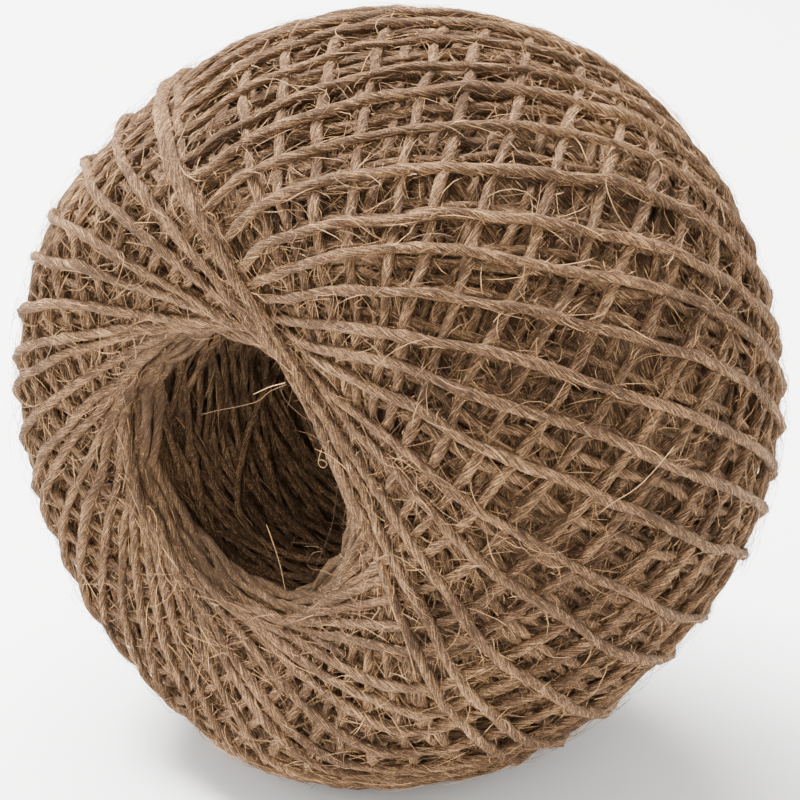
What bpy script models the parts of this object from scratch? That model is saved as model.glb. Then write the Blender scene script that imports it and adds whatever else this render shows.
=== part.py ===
"""Ball of jute garden twine: one wound body round an open bore, lying on its side.

Metres, +Z up. The bore runs along Y and the ball lies on a small flat spot on the floor.
"""
import math

import bpy
import numpy as np

# Sizes of the ball
BALL_RADIUS = 0.055
BORE_RADIUS = 0.0184
LIP_HEIGHT = 0.0295
SHOULDER_ANGLE = 53.0
REST_SQUASH = 0.0012

# Shape of the mouth between the bore lip and the shoulder, as shares of the ball radius
LIP_RISE = 0.135
SHOULDER_RUN = 0.10

# Winding of the twine: ridges of wraps lying side by side, each a few mesh columns wide
RIDGES = 27
RIDGE_COLUMNS = 4
RIDGE_HEIGHT = 0.0007
MOUTH_REACH = 0.385
GIRTH_REACH = 0.54
LEAN_FROM = 0.53
LEAN_SPAN = 0.35
STEEPEST_TURN = 0.80

# Last wraps, lying in a bundle over the shoulder of the mouth
BUNDLE_ROUND = 37.0
BUNDLE_REACH = 0.40
BUNDLE_HEIGHT = 0.0013
BUNDLE_HALF_WIDTH = 0.0038
BUNDLE_FADE = 85.0

# Mesh rows
MOUTH_ROWS = 10
GIRTH_ROWS = 26
BORE_ROWS = 4

# Swells and hollows left by the winding: angle round the bore, angle from the mouth, height, spread
SOFT_SPOTS = (
    {"round": 214.0, "from_mouth": 44.0, "height": -0.0005, "spread": 13.0},
    {"round": 274.0, "from_mouth": 62.0, "height": 0.0014, "spread": 18.0},
    {"round": 318.0, "from_mouth": 104.0, "height": -0.0013, "spread": 18.0},
    {"round": 68.0, "from_mouth": 131.0, "height": 0.0007, "spread": 20.0},
    {"round": 115.0, "from_mouth": 100.0, "height": -0.0006, "spread": 14.0},
    {"round": 150.0, "from_mouth": 66.0, "height": 0.0008, "spread": 9.0},
)


def clear_scene():
    """Start from an empty file."""
    for item in list(bpy.data.objects):
        bpy.data.objects.remove(item, do_unlink=True)


def ease(value):
    """Smooth step from 0 to 1."""
    t = np.clip(value, 0.0, 1.0)
    return t * t * (3.0 - 2.0 * t)


def mouth_curve(rows):
    """Points (radius, height) from the bore lip out over the mouth to the shoulder."""
    shoulder = math.radians(SHOULDER_ANGLE)
    lip = np.array([BORE_RADIUS, LIP_HEIGHT])
    lip_handle = lip + BALL_RADIUS * LIP_RISE * np.array([0.2, 0.98])
    end = BALL_RADIUS * np.array([math.sin(shoulder), math.cos(shoulder)])
    end_handle = end - BALL_RADIUS * SHOULDER_RUN * np.array([math.cos(shoulder), -math.sin(shoulder)])
    t = np.linspace(0.0, 1.0, rows + 1)[:, None]
    return (
        (1 - t) ** 3 * lip
        + 3 * (1 - t) ** 2 * t * lip_handle
        + 3 * (1 - t) * t ** 2 * end_handle
        + t ** 3 * end
    )


def outer_profile():
    """Points (radius, height) from the near lip over the girth to the far lip."""
    mouth = mouth_curve(MOUTH_ROWS)
    shoulder = math.radians(SHOULDER_ANGLE)
    angles = np.linspace(shoulder, math.pi - shoulder, GIRTH_ROWS + 1)[1:-1]
    girth = BALL_RADIUS * np.column_stack([np.sin(angles), np.cos(angles)])
    far = mouth[::-1] * np.array([1.0, -1.0])
    return np.vstack([mouth, girth, far])


def outward(profile):
    """Unit normals (radius, height) of the profile, pointing out of the twine."""
    along = np.gradient(profile, axis=0)
    normal = np.column_stack([-along[:, 1], along[:, 0]])
    return normal / np.linalg.norm(normal, axis=1)[:, None]


def turn_along(profile):
    """Angle round the bore that a strand gains along the profile."""
    radius = profile[:, 0] / BALL_RADIUS
    reach = MOUTH_REACH + (GIRTH_REACH - MOUTH_REACH) * ease((radius - LEAN_FROM) / LEAN_SPAN)
    lean = np.minimum(reach / radius, STEEPEST_TURN)
    rate = lean / np.sqrt(1.0 - lean ** 2) / profile[:, 0]
    step = np.linalg.norm(np.diff(profile, axis=0), axis=1)
    return np.concatenate([[0.0], np.cumsum(0.5 * (rate[1:] + rate[:-1]) * step)])


def point(radius, height, turn):
    """Position of a point given round the bore; the near mouth faces -Y."""
    return np.stack([radius * np.cos(turn), -height, radius * np.sin(turn)], axis=-1)


def soft_height(turn, polar):
    """Height of the swells and hollows at an angle round the bore and an angle from the mouth."""
    here = point(np.sin(polar), np.cos(polar), turn)
    total = np.zeros(here.shape[:-1])
    for spot in SOFT_SPOTS:
        around = math.radians(spot["round"])
        down = math.radians(spot["from_mouth"])
        there = point(math.sin(down), math.cos(down), np.array(around))
        away = np.degrees(np.arccos(np.clip(here @ there, -1.0, 1.0)))
        total += spot["height"] * np.exp(-((away / spot["spread"]) ** 2))
    return total


def bundle_turn(profile, strand_turn):
    """Angle of the bundle from its middle: straight across the mouth, then along the strands."""
    reach = BUNDLE_REACH * BALL_RADIUS
    edge = math.sin(math.radians(SHOULDER_ANGLE - 6.0)) * BALL_RADIUS
    chord = np.arccos(np.clip(reach / profile[:, 0], -1.0, 1.0))
    row = int(np.argmax(profile[:, 0] > edge))
    beyond = chord[row] + strand_turn - strand_turn[row]
    return np.where(np.arange(len(profile)) < row, chord, beyond)


def bundle_height(turn, from_middle, radius, polar):
    """Height of the bundle of last wraps, which leaves the mouth on both sides."""
    short = max(0.0, BUNDLE_REACH * BALL_RADIUS - radius)
    total = np.zeros(turn.shape)
    for way in (-1.0, 1.0):
        middle = math.radians(BUNDLE_ROUND) + way * from_middle
        gap = (turn - middle + math.pi) % (2.0 * math.pi) - math.pi
        away = np.hypot(gap * radius, short)
        total = np.maximum(total, np.exp(-((away / BUNDLE_HALF_WIDTH) ** 2)))
    fade = 1.0 - ease((np.degrees(polar) - 40.0) / (BUNDLE_FADE - 40.0))
    return BUNDLE_HEIGHT * total * fade


def wound_rings():
    """Rings of points over the mouths and the girth, with the ridges of the wraps raised."""
    profile = outer_profile()
    normal = outward(profile)
    strand_turn = turn_along(profile)
    columns = RIDGES * RIDGE_COLUMNS
    pitch = 2.0 * math.pi / columns
    shift = round(strand_turn[-1] / pitch)
    strand_turn = strand_turn * (shift * pitch / strand_turn[-1])
    start = np.arange(columns) * pitch
    ridge = np.cos(RIDGES * start)
    bundle = bundle_turn(profile, strand_turn)
    lip_fade = ease((profile[:, 0] - BORE_RADIUS) / (0.25 * BALL_RADIUS))
    rings = []
    for row, (radius, height) in enumerate(profile):
        turn = start - strand_turn[row]
        polar = np.full(columns, math.atan2(radius, height))
        lift = RIDGE_HEIGHT * ridge * lip_fade[row]
        lift = lift + soft_height(turn, polar) * lip_fade[row]
        lift = lift + bundle_height(turn, bundle[row], radius, polar)
        out = radius + normal[row, 0] * lift
        up = height + normal[row, 1] * lift
        rings.append(point(out, up, turn))
    return rings, shift


def bore_rings(columns, shift):
    """Rings of points back through the bore from the far lip to the near lip."""
    pitch = 2.0 * math.pi / columns
    turn = (np.arange(columns) - shift) * pitch
    rings = []
    for step in range(1, BORE_ROWS):
        height = LIP_HEIGHT * (2.0 * step / BORE_ROWS - 1.0)
        rings.append(point(np.full(columns, BORE_RADIUS), np.full(columns, height), turn))
    return rings


def wound_body():
    """Points and faces of the whole ball as one closed skin."""
    rings, shift = wound_rings()
    columns = len(rings[0])
    rings = rings + bore_rings(columns, shift)
    points = np.vstack(rings)
    faces = []
    for row in range(len(rings)):
        last = row == len(rings) - 1
        for column in range(columns):
            right = (column + 1) % columns
            below = 0 if last else row + 1
            left_below = (column - shift) % columns if last else column
            right_below = (right - shift) % columns if last else right
            faces.append(
                (
                    row * columns + column,
                    below * columns + left_below,
                    below * columns + right_below,
                    row * columns + right,
                )
            )
    return points, faces


def rest_flat(points):
    """Press the underside to a small flat spot and set it on the floor, centred over the origin."""
    floor = -(BALL_RADIUS - REST_SQUASH)
    points = points.copy()
    points[:, 2] = np.maximum(points[:, 2], floor)
    middle = 0.5 * (points.min(axis=0) + points.max(axis=0))
    return points - np.array([middle[0], middle[1], floor])


def jute_material():
    """Plain jute, pale brown and rough."""
    material = bpy.data.materials.new("jute_twine")
    material.use_nodes = True
    shader = material.node_tree.nodes["Principled BSDF"]
    shader.inputs["Base Color"].default_value = (0.30, 0.19, 0.11, 1.0)
    shader.inputs["Roughness"].default_value = 0.9
    return material


def make_ball():
    """The wound ball as one object."""
    points, faces = wound_body()
    points = rest_flat(points)
    mesh = bpy.data.meshes.new("ball")
    mesh.from_pydata([tuple(p) for p in points], [], faces)
    mesh.validate()
    mesh.shade_smooth()
    ball = bpy.data.objects.new("ball", mesh)
    bpy.context.scene.collection.objects.link(ball)
    mesh.materials.append(jute_material())
    return ball


clear_scene()
make_ball()
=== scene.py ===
"""Ball of jute garden twine, dressed with its turns, its fibres and its bore wall."""
import math

import bpy
import numpy as np
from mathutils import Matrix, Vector


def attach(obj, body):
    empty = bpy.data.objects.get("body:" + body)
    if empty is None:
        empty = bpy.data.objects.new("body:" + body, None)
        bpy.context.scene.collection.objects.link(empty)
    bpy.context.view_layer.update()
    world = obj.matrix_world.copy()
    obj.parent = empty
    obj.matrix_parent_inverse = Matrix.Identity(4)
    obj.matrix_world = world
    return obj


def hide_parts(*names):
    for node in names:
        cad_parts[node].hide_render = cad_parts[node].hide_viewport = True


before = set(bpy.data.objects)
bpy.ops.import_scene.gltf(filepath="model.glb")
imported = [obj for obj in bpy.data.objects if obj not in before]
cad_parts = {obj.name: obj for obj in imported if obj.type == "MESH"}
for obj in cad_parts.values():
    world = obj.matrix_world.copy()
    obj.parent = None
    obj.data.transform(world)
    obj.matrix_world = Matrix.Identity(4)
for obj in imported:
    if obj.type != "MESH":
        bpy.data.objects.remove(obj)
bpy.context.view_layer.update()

# Sizes of the ball, metres
MM = 0.001
BALL_RADIUS = 0.055
BALL_CENTRE = np.array([0.0, 0.0003, 0.0538])
BORE_RADIUS = 0.0184
LIP_HEIGHT = 0.0295
SHOULDER_ANGLE = 53.0
LIP_RISE = 0.135
SHOULDER_RUN = 0.10

# Twine, metres: its width with its fuzz, and the shares of it that are spun, near the bore and at the girth
TWINE = 0.0018
TIGHT_TWINE = 0.78
LOOSE_TWINE = 0.83

# Spinning of the twine: swell of its two plies, length of one turn of the plies and of the fibres in them
PLY_SWELL = 0.10
PLY_PITCH = 10.0 * MM
FIBRE_PITCH = 11.0 * MM

# Length of twine that one unit of the fibre pattern covers
FIBRE_STRETCH = 18.0 * MM

# Swells and hollows left by the winding: angle round the bore, angle from the mouth, height, spread
SOFT_SPOTS = (
    {"round": 214.0, "from_mouth": 44.0, "height": -0.0005, "spread": 13.0},
    {"round": 274.0, "from_mouth": 62.0, "height": 0.0014, "spread": 18.0},
    {"round": 318.0, "from_mouth": 104.0, "height": -0.0013, "spread": 18.0},
    {"round": 68.0, "from_mouth": 131.0, "height": 0.0007, "spread": 20.0},
    {"round": 115.0, "from_mouth": 100.0, "height": -0.0006, "spread": 14.0},
    {"round": 150.0, "from_mouth": 66.0, "height": 0.0008, "spread": 9.0},
)

# Winding: how far from the bore's axis a turn passes, as shares of the ball radius
MOUTH_REACH = 0.385
GIRTH_REACH = 0.54
STRAIGHT_TO = 0.47
LEAN_FROM = 0.53
LEAN_SPAN = 0.35
LEVEL_FROM = 0.43

# Share of its last chord after which a turn has sunk below the far mouth
TAIL_SHARE = 0.62

# Degrees round the bore from one turn to the next, newest first, and how many times each comes
TURN_STEPS = ((2, 4.0), (5, 11.6), (25, 9.04), (8, 8.5))
LAST_TURN_ROUND = 32.0
BUNDLE_REACHES = (0.315, 0.345, 0.375)

# Layers of the winding, from the outside in: depths over and under a crossing in twine widths, how much
# closer than the outer turns they pass the axis, sides of a turn's section, and the spacing of its points
# and its wander in mm
LAYERS = (
    {"name": "outer_turns", "newest": True, "turns": 40, "over": 0.45, "under": 0.98, "closer": 0.0,
     "sides": 6, "step": 1.6, "wander": 0.32},
    {"name": "second_turns", "newest": False, "turns": 50, "over": 1.5, "under": 2.0, "closer": 0.02,
     "sides": 5, "step": 2.3, "wander": 0.6},
    {"name": "third_turns", "newest": False, "turns": 58, "over": 2.1, "under": 2.55, "closer": 0.04,
     "sides": 4, "step": 3.2, "wander": 0.7},
)
HEART_DEPTH = 2.65

# Crossings: degrees in which a turn goes from over to under, and its rise over each, in twine widths,
# from a share of the ball radius outward
DIVE = 14.0
CROSSING_RISE = 0.10
RISE_FROM = 0.6
RISE_SPAN = 0.15

# The newest turns stand proud, in twine widths, and less the older they are and past the girth, in degrees
NEWEST_PROUD = 0.45
NEWEST_AGE = 24.0
NEWEST_END = 100.0
NEWEST_FADE = 60.0

# Depth in twine widths that a turn sinks to at its end
SINK = 3.0

# Older turns are darker near the bore: extra shade in twine widths, ball radius shares and degrees of age
RIM_SHADE = 2.2
RIM_TO = 0.475
RIM_SPAN = 0.09
RIM_AGE = 45.0
RIM_AGE_SPAN = 60.0

# Old turns that line the bore: spacing of points and wander in mm, then the rows down its wall and the
# chords in a row, as shares of the ball radius
LINING = {"step": 3.8, "wander": 0.5}
LINING_END = 0.55
LINING_ROW = 0.017
LINING_CHORDS = 9
LINING_HALF_CHORD = 0.30
LINING_CLOSE = 0.356
LINING_FLARE = 0.030
LINING_TWINE = 0.85

# The loose turn that sags across the bore: degrees round it, and in mm how near the mouth it comes and how
# it falls away from there per square degree
SAG_DEGREES = (-178.0, -68.0)
SAG_TOP_ROUND = -107.0
SAG_TOP = 22.0
SAG_FALL = 0.0033
SAG_CLOSE = 0.343

# Hairs of loose fibre: how many and how long in mm, their lean along, across and off the twine, how many
# twine widths under it they start, how many mm they stand off the ball, how thick they are in mm, points
# and bend in radians of each, how pale they are, and the share that is kept where they would hang over
# the bore. A real fibre is about 0.05 mm thick, too fine to show, so these are drawn thicker.
HAIRS = (
    {"name": "clinging_hairs", "count": 16600, "short": 2.5, "long": 8.5, "along": 1.0, "across": 0.35,
     "lift": 0.04, "root": 0.0, "stand": 0.25, "thick": 0.080, "rows": 4, "curl": 1.1, "pale": 1.0,
     "over_bore": 0.05},
    # Felted hairs lie in the gaps between turns and are kept less pale, as painted shade
    {"name": "felted_hairs", "count": 16600, "short": 2.0, "long": 7.0, "along": 0.6, "across": 0.8,
     "lift": 0.04, "root": 0.6, "stand": 0.1, "thick": 0.078, "rows": 4, "curl": 1.8, "pale": 0.85,
     "over_bore": 0.05},
    {"name": "fuzz", "count": 33200, "short": 0.6, "long": 2.2, "along": 0.7, "across": 0.7,
     "lift": 0.10, "root": 0.0, "stand": 0.35, "thick": 0.088, "rows": 3, "curl": 1.2, "pale": 1.0,
     "over_bore": 0.3},
    {"name": "stray_hairs", "count": 2000, "short": 4.0, "long": 12.0, "along": 0.8, "across": 0.6,
     "lift": 0.08, "root": 0.0, "stand": 0.6, "thick": 0.076, "rows": 7, "curl": 3.0, "pale": 1.0,
     "over_bore": 0.05},
)

# Hairs that lie along the turns of the bore wall
BORE_HAIRS = {
    "name": "bore_hairs", "count": 3000, "short": 3.0, "long": 9.0, "along": 1.0, "across": 0.2,
    # Kept less pale inside the bore, as painted shade
    "lift": 0.02, "root": 0.0, "stand": 0.0, "thick": 0.14, "rows": 4, "curl": 0.8, "pale": 0.7,
    "over_bore": 1.0,
}
HAIR_CLEAR_OF_BORE = 0.36

# Longer fibres that hang over the bore and lie on the girth: points in mm from the ball's centre
LONG_FIBRES = (
    ((12.0, -36.0, 17.5), (9.5, -36.0, 16.0), (8.0, -36.0, 15.0), (7.0, -36.0, 13.5),
     (3.0, -36.0, 11.5), (-0.5, -36.0, 10.0), (-4.5, -36.0, 8.0)),
    ((11.5, -36.0, 17.5), (8.5, -36.0, 16.0), (7.0, -36.0, 15.0), (5.5, -36.0, 14.0)),
    ((16.0, -34.0, 9.0), (15.5, -34.0, 7.5), (15.0, -34.0, 6.0), (16.0, -34.0, 5.5),
     (17.0, -34.0, 6.5), (16.0, -34.0, 7.0), (15.0, -34.0, 6.5)),
    ((17.0, -32.0, 4.0), (16.5, -32.0, 0.5), (16.0, -32.0, -3.0), (14.5, -32.0, -7.0),
     (13.0, -32.0, -10.5), (11.5, -32.0, -13.5)),
    ((2.0, -30.0, -8.5), (3.0, -30.0, -10.5), (4.5, -30.0, -14.0), (5.5, -30.0, -18.0)),
    ((10.5, -32.0, -8.5), (13.0, -32.0, -7.5), (14.5, -32.0, -8.0), (12.5, -32.0, -8.5),
     (11.5, -32.0, -10.0), (11.0, -32.0, -11.0), (12.5, -32.0, -11.5)),
    ((54.5, -8.0, 11.5), (54.3, -11.5, 9.5), (53.7, -15.0, 7.5), (52.6, -19.0, 6.5),
     (52.0, -21.0, 5.5)),
)
LONG_FIBRE = {"name": "long_fibres", "thick": 0.11, "pale": 1.0}
LONG_FIBRE_ROWS = 22

rng = np.random.default_rng(31)


def ease(value):
    """Smooth step from 0 to 1."""
    t = np.clip(value, 0.0, 1.0)
    return t * t * (3.0 - 2.0 * t)


# Form of the wound body, as in the solid


def mouth_curve(rows):
    """Points (radius, height) from the bore lip out over the mouth to the shoulder."""
    shoulder = math.radians(SHOULDER_ANGLE)
    lip = np.array([BORE_RADIUS, LIP_HEIGHT])
    lip_handle = lip + BALL_RADIUS * LIP_RISE * np.array([0.2, 0.98])
    end = BALL_RADIUS * np.array([math.sin(shoulder), math.cos(shoulder)])
    end_handle = end - BALL_RADIUS * SHOULDER_RUN * np.array([math.cos(shoulder), -math.sin(shoulder)])
    t = np.linspace(0.0, 1.0, rows + 1)[:, None]
    return (
        (1 - t) ** 3 * lip
        + 3 * (1 - t) ** 2 * t * lip_handle
        + 3 * (1 - t) * t ** 2 * end_handle
        + t ** 3 * end
    )


def outward(profile):
    """Unit normals (radius, height) of a profile, pointing out of the twine."""
    along = np.gradient(profile, axis=0)
    normal = np.column_stack([-along[:, 1], along[:, 0]])
    return normal / np.linalg.norm(normal, axis=1)[:, None]


def point(radius, height, turn):
    """Position round the bore, from the ball's centre; the near mouth faces -Y."""
    return np.stack([radius * np.cos(turn), -height, radius * np.sin(turn)], axis=-1)


def soft_height(direction):
    """Height of the swells and hollows in a direction from the ball's centre."""
    total = np.zeros(direction.shape[:-1])
    for spot in SOFT_SPOTS:
        around = math.radians(spot["round"])
        down = math.radians(spot["from_mouth"])
        there = point(math.sin(down), math.cos(down), np.array(around))
        away = np.degrees(np.arccos(np.clip(direction @ there, -1.0, 1.0)))
        total += spot["height"] * np.exp(-((away / spot["spread"]) ** 2))
    return total


def settle(points):
    """Move from the ball's centre to the row frame and press the underside onto the floor."""
    placed = points + BALL_CENTRE
    # Twine nearer the floor than this is pressed flat, and none goes below it
    soft = 1.6 * MM
    low = placed[..., 2] < soft
    pressed = soft * np.exp(np.minimum(placed[..., 2] / soft - 1.0, 0.0))
    placed[..., 2] = np.where(low, pressed, placed[..., 2])
    return placed


# The run of a turn over the body, from its tangent at the near mouth to the far mouth

MOUTH = mouth_curve(400)


def on_mouth(radius):
    """Height of a turn over the mouth: nearer the bore it runs level instead of dipping to the lip."""
    return np.interp(np.maximum(radius, LEVEL_FROM * BALL_RADIUS), MOUTH[:, 0], MOUTH[:, 1])


def run_over(reach):
    """Radius, height and angle round the bore along half a turn that passes the axis at a reach."""
    edge = STRAIGHT_TO * BALL_RADIUS
    near_reach = reach * BALL_RADIUS
    end = math.sqrt(edge ** 2 - near_reach ** 2)
    across = np.linspace(0.0, end, 60)
    radius_in = np.hypot(near_reach, across)
    turn_in = np.arctan2(across, near_reach)
    shoulder = math.radians(SHOULDER_ANGLE)
    rest = MOUTH[MOUTH[:, 0] > edge]
    angles = np.linspace(shoulder, math.pi - shoulder, 420)[1:-1]
    girth = BALL_RADIUS * np.column_stack([np.sin(angles), np.cos(angles)])
    body = np.vstack([rest, girth, rest[::-1] * np.array([1.0, -1.0])])
    share = body[:, 0] / BALL_RADIUS
    passing = reach + (GIRTH_REACH - reach) * ease((share - LEAN_FROM) / LEAN_SPAN)
    rate = passing / np.sqrt(share ** 2 - passing ** 2) / body[:, 0]
    step = np.linalg.norm(np.diff(body, axis=0), axis=1)
    gained = np.concatenate([[0.0], np.cumsum(0.5 * (rate[1:] + rate[:-1]) * step)])
    turn_body = turn_in[-1] + gained
    out = turn_body[-1] + turn_in[-1] - turn_in[::-1]
    tail = np.linspace(0.0, TAIL_SHARE * end, 40)[1:]
    tail_radius = np.hypot(near_reach, tail)
    tail_turn = out[-1] + np.arctan2(tail, near_reach)
    radius = np.concatenate([radius_in[:-1], body[:, 0], radius_in[::-1][1:], tail_radius])
    height = np.concatenate(
        [on_mouth(radius_in[:-1]), body[:, 1], -on_mouth(radius_in[::-1][1:]), -on_mouth(tail_radius)]
    )
    turn = np.concatenate([turn_in[:-1], turn_body, out[1:], tail_turn])
    sunk = np.zeros(len(radius))
    sunk[-len(tail):] = tail / tail[-1]
    return radius, height, turn, sunk


def turn_angles(layer):
    """Angle of each turn's tangent from the newest turn's, in degrees."""
    turns = layer["turns"]
    if not layer["newest"]:
        return np.arange(turns) * 360.0 / turns + rng.normal(0.0, 1.6, turns)
    steps = np.concatenate([np.full(count, size) for count, size in TURN_STEPS])
    angles = np.concatenate([[0.0], np.cumsum(steps)[:-1]])
    return angles + rng.normal(0.0, 0.4, turns)


def wave(length, low, high, count):
    """A smooth wandering line of unit size along a length, from a few waves."""
    total = np.zeros(len(length))
    for size in rng.uniform(low, high, count):
        total += np.sin(2.0 * math.pi * (length / size + rng.random()))
    return total / math.sqrt(count)


def half_turn(age, middle, way, reach, layer):
    """Points, outward directions and shade depths of half a turn; way is -1 or 1 for the two leans."""
    radius, height, gained, sunk = run_over(reach)
    profile = np.column_stack([radius, height])
    slope = np.gradient(profile, axis=0)
    flip = np.where(sunk > 0.0, -1.0, 1.0)[:, None]
    normal = np.column_stack([-slope[:, 1], slope[:, 0]]) * flip
    size = np.linalg.norm(normal, axis=1)
    normal[size < 1e-9] = normal[np.argmax(size > 1e-9)]
    normal[0] = normal[1]
    normal = normal / np.linalg.norm(normal, axis=1)[:, None]
    # The turn that crosses here is this many degrees away: where it is the older one, this turn lies over it
    both = np.degrees(2.0 * gained)
    if way < 0:
        ahead = both - age
    else:
        ahead = 360.0 - both - age
    over = ease(ahead / DIVE + 0.5)
    newest = math.exp(-age / NEWEST_AGE) * ease((NEWEST_END - np.degrees(gained)) / NEWEST_FADE)
    cross = layer["turns"] * gained / math.pi
    share = radius / BALL_RADIUS
    rise = CROSSING_RISE * np.cos(2.0 * math.pi * cross) * ease((share - RISE_FROM) / RISE_SPAN)
    depth = layer["over"] * over + layer["under"] * (1.0 - over) - rise
    if layer["newest"]:
        depth = depth - NEWEST_PROUD * newest * over
    depth = (depth + SINK * sunk) * TWINE
    turn = middle + way * gained
    out = point(normal[:, 0], normal[:, 1], turn)
    at = point(radius, height, turn)
    toward = at / np.linalg.norm(at, axis=1)[:, None]
    at = at + out * (soft_height(toward) - depth)[:, None]
    # Painted shade: older turns near the bore get extra shade depth, so the material paints them darker
    painted_rim_shade = ease((RIM_TO - share) / RIM_SPAN) * ease((age - RIM_AGE) / RIM_AGE_SPAN)
    return at, out, depth + RIM_SHADE * TWINE * painted_rim_shade


def one_turn(age, middle, reach, layer):
    """Points along a whole turn: in over one side, past the near mouth, out over the other."""
    came, came_out, came_depth = half_turn(age, middle, 1.0, reach, layer)
    went, went_out, went_depth = half_turn(age, middle, -1.0, reach, layer)
    at = np.vstack([came[::-1], went[1:]])
    out = np.vstack([came_out[::-1], went_out[1:]])
    depth = np.concatenate([came_depth[::-1], went_depth[1:]])
    return evenly(at, out, depth, layer)


def evenly(at, out, depth, layer):
    """Space the points evenly, smooth them and let them wander a little."""
    step = np.linalg.norm(np.diff(at, axis=0), axis=1)
    along = np.concatenate([[0.0], np.cumsum(step)])
    count = int(along[-1] / (layer["step"] * MM))
    length = np.linspace(0.0, along[-1], count)
    at = np.column_stack([np.interp(length, along, at[:, k]) for k in range(3)])
    out = np.column_stack([np.interp(length, along, out[:, k]) for k in range(3)])
    depth = np.interp(length, along, depth)
    for _ in range(2):
        at[1:-1] = 0.25 * at[:-2] + 0.5 * at[1:-1] + 0.25 * at[2:]
    run = np.gradient(at, axis=0)
    run /= np.linalg.norm(run, axis=1)[:, None]
    out = out - run * np.sum(out * run, axis=1)[:, None]
    out /= np.linalg.norm(out, axis=1)[:, None]
    side = np.cross(run, out)
    # Wander sideways over 12 to 50 mm, and about half as much in and out over 8 to 30 mm
    loose = layer["wander"] * MM
    at = at + side * (loose * wave(length, 0.012, 0.05, 4))[:, None]
    at = at + out * (0.45 * loose * wave(length, 0.008, 0.03, 4))[:, None]
    return {"at": at, "out": out, "side": side, "run": run, "length": length, "depth": depth}


def layer_turns(layer):
    """All the turns of one layer."""
    angles = turn_angles(layer)
    turns = []
    for number, age in enumerate(angles):
        reach = MOUTH_REACH - layer["closer"] + rng.normal(0.0, 0.010)
        if layer["newest"] and number < len(BUNDLE_REACHES):
            reach = BUNDLE_REACHES[number]
        middle = math.radians(LAST_TURN_ROUND + age)
        turns.append(one_turn(age % 360.0, middle, reach, layer))
    return turns


# Chords of old turns that line the bore


def bore_turns():
    """Short straight runs past the bore, one above the other down its wall."""
    turns = []
    for share in np.arange(-LINING_END, LINING_END + 0.01, LINING_ROW):
        height = share * BALL_RADIUS
        close = (LINING_CLOSE + LINING_FLARE * ease((abs(share) - 0.34) / 0.22)) * BALL_RADIUS
        # Painted shade: rows nearer the middle of the bore wall get more shade depth, so they are painted
        # darker
        painted_shade_depth = (1.7 + ease((0.54 - abs(share)) / 0.25)) * TWINE
        first = rng.random() * 2.0 * math.pi
        for number in range(LINING_CHORDS):
            middle = first + 2.0 * math.pi * number / LINING_CHORDS + rng.normal(0.0, 0.08)
            reach = close + rng.normal(0.0, 0.35) * MM
            across = np.linspace(-LINING_HALF_CHORD, LINING_HALF_CHORD, 24) * BALL_RADIUS
            radius = np.hypot(reach, across) + 0.4 * np.abs(across) ** 2 / BALL_RADIUS
            turn = middle + np.arctan2(across, reach)
            tilt = rng.normal(0.12, 0.08) * (1.0 if number % 2 else -1.0)
            at = point(radius, height + tilt * across, turn)
            out = point(-np.ones(len(turn)), np.zeros(len(turn)), turn)
            turns.append(evenly(at, out, np.full(len(turn), painted_shade_depth), LINING))
    turns.append(sagging_turn())
    return turns


def sagging_turn():
    """The one loose turn that sags across the lower wall of the bore."""
    degrees = np.linspace(*SAG_DEGREES, 40)
    turn = np.radians(degrees)
    height = (SAG_TOP - SAG_FALL * (degrees - SAG_TOP_ROUND) ** 2) * MM
    at = point(np.full(len(turn), SAG_CLOSE * BALL_RADIUS), height, turn)
    out = point(-np.ones(len(turn)), np.zeros(len(turn)), turn)
    return evenly(at, out, np.full(len(turn), 0.5 * TWINE), LINING)


# Turning runs of points into twine


def new_mesh(name, corners, faces, sizes, values):
    """A mesh object from arrays; values holds named attributes, one value a point."""
    mesh = bpy.data.meshes.new(name)
    mesh.vertices.add(len(corners))
    mesh.vertices.foreach_set("co", np.ascontiguousarray(corners, dtype=np.float32).ravel())
    mesh.loops.add(len(faces))
    mesh.loops.foreach_set("vertex_index", np.ascontiguousarray(faces, dtype=np.int32))
    mesh.polygons.add(len(sizes))
    starts = np.concatenate([[0], np.cumsum(sizes)[:-1]])
    mesh.polygons.foreach_set("loop_start", starts.astype(np.int32))
    mesh.polygons.foreach_set("loop_total", np.asarray(sizes, dtype=np.int32))
    for key, data in values.items():
        kind = "FLOAT_VECTOR" if data.ndim == 2 else "FLOAT"
        store = mesh.attributes.new(key, kind, "POINT")
        store.data.foreach_set("vector" if data.ndim == 2 else "value", data.astype(np.float32).ravel())
    mesh.update(calc_edges=True)
    mesh.shade_smooth()
    piece = bpy.data.objects.new(name, mesh)
    bpy.context.scene.collection.objects.link(piece)
    return piece


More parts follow.
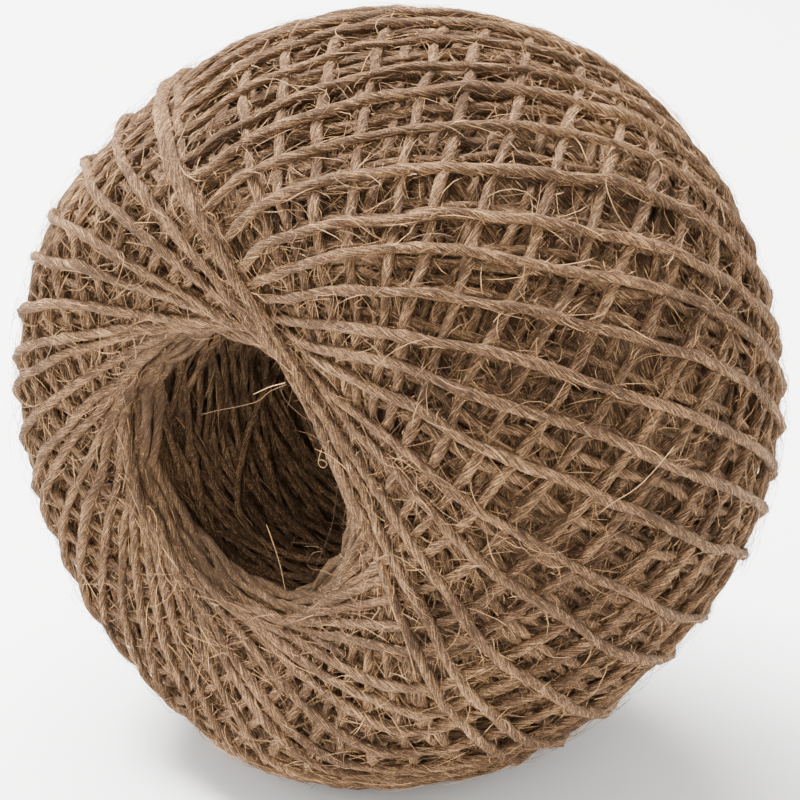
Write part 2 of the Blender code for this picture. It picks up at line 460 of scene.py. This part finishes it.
def twine_piece(name, turns, sides, width):
    """One joined mesh of round runs of twine with their plies and the lay of their fibres."""
    corners, faces, sizes, lays, painted_shade_depths = [], [], [], [], []
    base = 0
    angle = np.arange(sides) * 2.0 * math.pi / sides
    for turn in turns:
        length = turn["length"]
        count = len(length)
        away = np.hypot(turn["at"][:, 0], turn["at"][:, 2]) / BALL_RADIUS
        thick = 0.5 * width * (TIGHT_TWINE + (LOOSE_TWINE - TIGHT_TWINE) * ease((away - 0.5) / 0.4))
        # Uneven spinning: slubs 6 to 30 mm long, no two turns of the same width, and ragged sections
        thick = thick * (1.0 + 0.10 * wave(length, 0.006, 0.03, 4) + rng.normal(0.0, 0.07))
        ply = 2.0 * math.pi * (length / PLY_PITCH + rng.random())
        lobe = 1.0 + PLY_SWELL * np.cos(2.0 * (angle[None, :] - ply[:, None]))
        reach = thick[:, None] * lobe * (1.0 + rng.normal(0.0, 0.06, (count, sides)))
        ring = (
            turn["at"][:, None, :]
            + (reach * np.cos(angle))[..., None] * turn["out"][:, None, :]
            + (reach * np.sin(angle))[..., None] * turn["side"][:, None, :]
        )
        corners.append(ring.reshape(-1, 3))
        # Fibres wind round the twine, now tighter and now looser
        drift = 2.0 * math.pi * length / FIBRE_PITCH + 0.7 * wave(length, 0.01, 0.04, 3)
        lie = angle[None, :] - drift[:, None]
        run = length[:, None] / FIBRE_STRETCH + rng.uniform(0.0, 400.0)
        lay = np.stack([np.cos(lie), np.sin(lie), np.broadcast_to(run, lie.shape)], axis=-1)
        lays.append(lay.reshape(-1, 3))
        # Painted shade: each turn's shade depth goes to the material, which paints deeper turns darker
        painted_shade_depths.append(np.repeat(turn["depth"] / TWINE, sides))
        index = base + np.arange(count * sides).reshape(count, sides)
        right = np.roll(index, -1, axis=1)
        quads = np.stack([index[:-1], right[:-1], right[1:], index[1:]], axis=-1)
        faces.append(quads.reshape(-1))
        sizes.append(np.full((count - 1) * sides, 4))
        faces.append(index[0][::-1])
        faces.append(index[-1])
        sizes.append(np.array([sides, sides]))
        base += count * sides
    return new_mesh(
        name,
        settle(np.vstack(corners)),
        np.concatenate(faces),
        np.concatenate(sizes),
        {"lay": np.vstack(lays), "painted_shade_depth": np.concatenate(painted_shade_depths)},
    )


# Fine hairs of jute that stand off the twine


def hair_paths(turns, kind):
    """Curved paths of hairs rooted on the twine, each an arc."""
    paths = []
    count = kind["count"]
    share = np.array([len(turn["length"]) for turn in turns], dtype=float)
    picks = rng.choice(len(turns), count, p=share / share.sum())
    for pick in np.unique(picks):
        turn = turns[pick]
        total = int(np.sum(picks == pick))
        spot = rng.integers(2, len(turn["length"]) - 2, total)
        out, side, run = turn["out"][spot], turn["side"][spot], turn["run"][spot]
        # Roots lie on the outer side of the twine, up to 1.9 radians round from its top
        angle = rng.uniform(-1.9, 1.9, total)[:, None]
        skin = out * np.cos(angle) + side * np.sin(angle)
        root = turn["at"][spot] + skin * 0.42 * TWINE - out * kind["root"] * TWINE
        along = kind["along"] * rng.choice([-1.0, 1.0], total)[:, None]
        lean = rng.normal(0.0, 1.0, (total, 3)) * np.array([0.35, kind["across"], kind["lift"]])
        head = run * (along + lean[:, :1]) + side * lean[:, 1:2] + out * (kind["lift"] + lean[:, 2:3])
        head += skin * kind["lift"]
        head /= np.linalg.norm(head, axis=1)[:, None]
        # Each bends to one side or the other, nearly in the ball's surface
        swing = out * rng.choice([-1.0, 1.0], total)[:, None] + rng.normal(0.0, 0.35, (total, 3))
        bend = np.cross(head, swing)
        bend /= np.linalg.norm(bend, axis=1)[:, None]
        size = rng.uniform(kind["short"], kind["long"], total)[:, None] * MM
        curl = kind["curl"] * rng.uniform(0.1, 1.0, total)[:, None]
        points = []
        for t in np.linspace(0.0, 1.0, kind["rows"]):
            turned = curl * t
            points.append(root + size * (head * np.sin(turned) + bend * (1.0 - np.cos(turned))) / curl)
        paths.append(np.stack(points, axis=1))
    paths = np.concatenate(paths)
    # No hair stands further off the ball than its kind may
    far = np.linalg.norm(paths, axis=-1)
    bare = BALL_RADIUS + soft_height(paths / far[..., None])
    limit = bare + kind["stand"] * MM * rng.uniform(0.1, 1.0, (len(paths), 1))
    paths = paths * np.minimum(1.0, limit / far)[..., None]
    tips = np.hypot(paths[:, -1, 0], paths[:, -1, 2])
    clear = tips > HAIR_CLEAR_OF_BORE * BALL_RADIUS
    kept = clear | (rng.random(len(paths)) < kind["over_bore"])
    return paths[kept]


def long_paths():
    """Smooth paths of the longer fibres, each through its own few points."""
    paths = []
    for points in LONG_FIBRES:
        points = np.array(points) * MM
        place = np.linspace(0.0, len(points) - 1.0, LONG_FIBRE_ROWS)
        path = np.column_stack([np.interp(place, np.arange(len(points)), points[:, k]) for k in range(3)])
        for _ in range(3):
            path[1:-1] = 0.25 * path[:-2] + 0.5 * path[1:-1] + 0.25 * path[2:]
        paths.append(path)
    return np.stack(paths)


def hair_piece(kind, paths):
    """One joined mesh of three-sided hairs, pointed at both ends."""
    total, rows = paths.shape[:2]
    run = np.gradient(paths, axis=1)
    run /= np.linalg.norm(run, axis=-1)[..., None]
    ref = np.where(np.abs(run[..., 2:3]) < 0.8, np.array([0.0, 0.0, 1.0]), np.array([1.0, 0.0, 0.0]))
    side = np.cross(run, ref)
    side /= np.linalg.norm(side, axis=-1)[..., None]
    other = np.cross(run, side)
    taper = np.linspace(1.0, 0.6, rows)[None, 1:-1, None, None]
    size = 0.5 * kind["thick"] * MM * rng.uniform(0.6, 1.3, (total, 1, 1, 1)) * taper
    angle = np.arange(3) * 2.0 * math.pi / 3.0
    around = np.cos(angle)[None, None, :, None] * side[:, 1:-1, None, :]
    around = around + np.sin(angle)[None, None, :, None] * other[:, 1:-1, None, :]
    rings = (paths[:, 1:-1, None, :] + size * around).reshape(total, -1, 3)
    corners = np.concatenate([paths[:, :1], rings, paths[:, -1:]], axis=1)
    each = corners.shape[1]
    base = np.arange(total)[:, None, None] * each
    index = 1 + np.arange(3 * (rows - 2)).reshape(rows - 2, 3)
    right = np.roll(index, -1, axis=1)
    quads = np.stack([index[:-1], right[:-1], right[1:], index[1:]], axis=-1).reshape(-1, 4)
    first = np.stack([np.zeros(3, dtype=int), right[0], index[0]], axis=-1)
    last = np.stack([index[-1], right[-1], np.full(3, each - 1)], axis=-1)
    ends = np.concatenate([first, last])
    faces = np.concatenate([(base + quads).reshape(-1), (base + ends).reshape(-1)])
    sizes = np.concatenate([np.full(total * len(quads), 4), np.full(total * 6, 3)])
    # More dark hairs than pale ones
    tone = np.repeat(rng.random(total) ** 1.35 * kind["pale"], each)
    return new_mesh(kind["name"], settle(corners.reshape(-1, 3)), faces, sizes, {"tone": tone})


# Heart of the ball, seen only through the gaps


def heart_piece():
    """A closed skin well under the turns, so that no light passes between them."""
    mouth = mouth_curve(16)
    shoulder = math.radians(SHOULDER_ANGLE)
    angles = np.linspace(shoulder, math.pi - shoulder, 34)[1:-1]
    girth = BALL_RADIUS * np.column_stack([np.sin(angles), np.cos(angles)])
    profile = np.vstack([mouth, girth, mouth[::-1] * np.array([1.0, -1.0])])
    normal = outward(profile)
    # A tenth less deep in the bore, so that it lies right behind the lining
    wall = 0.9 + 0.1 * ease((profile[:, 0] - BORE_RADIUS) / (0.2 * BALL_RADIUS))
    profile = profile - normal * (HEART_DEPTH * TWINE * wall)[:, None]
    columns = 90
    turn = np.arange(columns) * 2.0 * math.pi / columns
    radius, height, turn = np.broadcast_arrays(profile[:, :1], profile[:, 1:], turn[None, :])
    rings = point(radius, height, turn)
    rows = len(profile)
    index = np.arange(rows * columns).reshape(rows, columns)
    right = np.roll(index, -1, axis=1)
    below = np.roll(index, -1, axis=0)
    below_right = np.roll(right, -1, axis=0)
    quads = np.stack([index, below, below_right, right], axis=-1)
    flat = rings.reshape(-1, 3)
    # The fibre pattern of twine pressed together, 1.5 mm a unit across, and painted shade that makes it
    # darker inside the bore
    pressed = 1.5 * MM
    lay = np.stack([radius / pressed, height / pressed, turn * BALL_RADIUS / FIBRE_STRETCH], axis=-1)
    painted_bore_shade = 1.0 - ease((np.hypot(flat[:, 0], flat[:, 2]) / BALL_RADIUS - 0.42) / 0.1)
    values = {"lay": lay.reshape(-1, 3), "painted_shade_depth": HEART_DEPTH + 1.6 * painted_bore_shade}
    return new_mesh("heart", settle(flat), quads.reshape(-1), np.full(rows * columns, 4), values)


# Materials


def linear(code):
    """sRGB hex to linear colour."""
    parts = [int(code[k : k + 2], 16) / 255.0 for k in (1, 3, 5)]
    return [v / 12.92 if v <= 0.04045 else ((v + 0.055) / 1.055) ** 2.4 for v in parts] + [1.0]


def add(tree, kind, settings=None, links=None, stops=()):
    """Add a node with its settings, its incoming links and the stops of its colour band."""
    node = tree.nodes.new(kind)
    for key, value in (settings or {}).items():
        if isinstance(key, str) and hasattr(node, key):
            setattr(node, key, value)
        else:
            node.inputs[key].default_value = value
    for key, source in (links or {}).items():
        tree.links.new(source, node.inputs[key])
    for _ in stops[2:]:
        node.color_ramp.elements.new(0.5)
    for number, (place, colour) in enumerate(stops):
        node.color_ramp.elements[number].position = place
        node.color_ramp.elements[number].color = linear(colour)
    return node


def new_material(name):
    """An empty material with its shader, ready for nodes."""
    material = bpy.data.materials.new(name)
    material.use_nodes = True
    tree = material.node_tree
    return material, tree, tree.nodes["Principled BSDF"]


def retted_jute_twine():
    """Retted jute, spun and left raw: matt, pale brown, streaked along its fibres.

    The painted shade depth attribute gives how many twine widths a turn lies under the surface; the deeper
    it lies, the darker its colour is painted, as painted shade.
    """
    material, tree, shader = new_material("retted_jute_twine")
    lay = add(tree, "ShaderNodeAttribute", {"attribute_name": "lay"})
    painted_shade_depth = add(tree, "ShaderNodeAttribute", {"attribute_name": "painted_shade_depth"})
    # A fibre is about 0.05 mm wide, too fine to show, so bundles 0.12 mm wide and 3 mm long are drawn:
    # one unit of the pattern is the twine's half width, 0.7 mm, and 18 mm along it
    streak = add(tree, "ShaderNodeTexNoise", {"Scale": 6.0, "Detail": 2.0, "Roughness": 0.9},
                 {"Vector": lay.outputs["Vector"]})
    place = add(tree, "ShaderNodeTexCoord")
    # Patches of paler and darker stalk about 12 mm across, 85 to a metre
    patch = add(tree, "ShaderNodeTexNoise", {"Scale": 85.0, "Detail": 3.0, "Roughness": 0.6},
                {"Vector": place.outputs["Object"]})
    # Short loose fibres felted onto the surface, in tufts about 0.45 mm across, 2200 to a metre
    felt = add(tree, "ShaderNodeTexNoise",
               {"Scale": 2200.0, "Detail": 3.0, "Roughness": 0.8, "Distortion": 1.5},
               {"Vector": place.outputs["Object"]})
    grain = add(tree, "ShaderNodeMath", {"operation": "MULTIPLY_ADD", 1: 0.45},
                {0: felt.outputs["Fac"], 2: streak.outputs["Fac"]})
    blend = add(tree, "ShaderNodeMath", {"operation": "MULTIPLY_ADD", 1: 0.3},
                {0: patch.outputs["Fac"], 2: grain.outputs[0]})
    spread = add(tree, "ShaderNodeMapRange", {1: 0.68, 2: 1.05}, {0: blend.outputs[0]})
    colour = add(tree, "ShaderNodeValToRGB", None, {0: spread.outputs[0]},
                 ((0.0, "#2E2218"), (0.3, "#422F21"), (0.62, "#624733"), (1.0, "#D2A575")))
    # Painted shade: the deeper a turn lies, the more its colour is mixed toward this dark brown
    shade = add(tree, "ShaderNodeMapRange", {1: 1.0, 2: 6.5, 3: 0.0, 4: 0.85}, {0: painted_shade_depth.outputs["Fac"]})
    dark = add(tree, "ShaderNodeMix", {"data_type": "RGBA", 7: linear("#3A2B1D")},
               {0: shade.outputs[0], 6: colour.outputs[0]})
    bump = add(tree, "ShaderNodeBump", {"Strength": 1.0, "Distance": 0.0006}, {"Height": grain.outputs[0]})
    tree.links.new(dark.outputs[2], shader.inputs["Base Color"])
    tree.links.new(bump.outputs[0], shader.inputs["Normal"])
    shader.inputs["Roughness"].default_value = 0.82
    shader.inputs["Specular IOR Level"].default_value = 0.2
    shader.inputs["Sheen Weight"].default_value = 0.15
    shader.inputs["Sheen Roughness"].default_value = 0.5
    shader.inputs["Sheen Tint"].default_value = linear("#C9995F")
    return material


def loose_jute_hair():
    """Single jute fibres: paler than the twine, with a faint silky shine."""
    material, tree, shader = new_material("loose_jute_hair")
    tone = add(tree, "ShaderNodeAttribute", {"attribute_name": "tone"})
    colour = add(tree, "ShaderNodeValToRGB", None, {0: tone.outputs["Fac"]},
                 ((0.0, "#543C28"), (0.5, "#8C6947"), (1.0, "#E8B880")))
    tree.links.new(colour.outputs[0], shader.inputs["Base Color"])
    shader.inputs["Roughness"].default_value = 0.6
    shader.inputs["Specular IOR Level"].default_value = 0.3
    return material


def pale_paper():
    """Uncoated backdrop paper: nearly white and fully matt."""
    material, tree, shader = new_material("pale_paper")
    shader.inputs["Base Color"].default_value = linear("#FCFBF9")
    shader.inputs["Roughness"].default_value = 0.9
    return material


# Camera, floor and lights

# The photograph's view: degrees round from the front and up, metres away, focal length in mm, shift
VIEW_ROUND = 40.3
VIEW_UP = 24.4
VIEW_FROM = 0.55
LENS = 174.9
SHIFT = (0.004, -0.0075)

# Square lights: degrees round from the front and up, side in metres, watts
LIGHTS = {
    "key": (-76.0, 60.0, 0.3, 36.0),
    "left": (-58.0, 20.0, 0.5, 4.0),
    "right": (125.0, 15.0, 0.5, 3.0),
    "above": (-122.0, 68.0, 0.7, 24.0),
    "front": (32.0, 24.0, 0.4, 3.3),
}
LIGHTS_FROM = 0.9
DAYLIGHT = 1.3
FLOOR_HALF = 1.5


def stand(item, round_deg, up_deg, distance):
    """Stand a camera or a light at a place round the ball, facing its centre."""
    around = math.radians(round_deg)
    up = math.radians(up_deg)
    centre = Vector(BALL_CENTRE)
    way = Vector((math.sin(around) * math.cos(up), -math.cos(around) * math.cos(up), math.sin(up)))
    item.location = centre + way * distance
    item.rotation_euler = (centre - item.location).to_track_quat("-Z", "Y").to_euler()
    bpy.context.scene.collection.objects.link(item)


def add_camera():
    """Camera at the photograph's angle."""
    data = bpy.data.cameras.new("camera")
    data.lens = LENS
    data.sensor_width = 36.0
    data.shift_x, data.shift_y = SHIFT
    data.clip_start = 0.01
    camera = bpy.data.objects.new("camera", data)
    stand(camera, VIEW_ROUND, VIEW_UP, VIEW_FROM)
    bpy.context.scene.camera = camera


def add_lights():
    """Soft square lights that face the ball."""
    for name, (round_deg, up_deg, side, watts) in LIGHTS.items():
        data = bpy.data.lights.new(name, "AREA")
        data.shape = "SQUARE"
        data.size = side
        data.energy = watts
        stand(bpy.data.objects.new(name, data), round_deg, up_deg, LIGHTS_FROM)


def add_room():
    """Pale floor and pale surroundings."""
    sides = np.array([[-1.0, -1.0, 0.0], [1.0, -1.0, 0.0], [1.0, 1.0, 0.0], [-1.0, 1.0, 0.0]])
    floor = new_mesh("floor", FLOOR_HALF * sides, np.arange(4), np.array([4]), {})
    floor.data.materials.append(pale_paper())
    world = bpy.data.worlds.new("studio")
    world.use_nodes = True
    world.node_tree.nodes["Background"].inputs[0].default_value = linear("#FFFFFF")
    world.node_tree.nodes["Background"].inputs[1].default_value = DAYLIGHT
    bpy.context.scene.world = world


# Making the ball

add_camera()
add_room()
add_lights()
twine = retted_jute_twine()
hair = loose_jute_hair()
layers = [layer_turns(layer) for layer in LAYERS]
pieces = []
for layer, turns in zip(LAYERS, layers):
    pieces.append(twine_piece(layer["name"], turns, layer["sides"], TWINE))
lining = bore_turns()
pieces.append(twine_piece("bore_turns", lining, 4, LINING_TWINE * TWINE))
pieces.append(heart_piece())
for piece in pieces:
    piece.data.materials.append(twine)
outer, second = layers[0], layers[1]
near = outer + second[::2]
hairs = [hair_piece(kind, hair_paths(near, kind)) for kind in HAIRS]
hairs.append(hair_piece(BORE_HAIRS, hair_paths(lining, BORE_HAIRS)))
hairs.append(hair_piece(LONG_FIBRE, long_paths()))
for piece in hairs:
    piece.data.materials.append(hair)
for piece in pieces + hairs:
    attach(piece, "root")
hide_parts("ball")
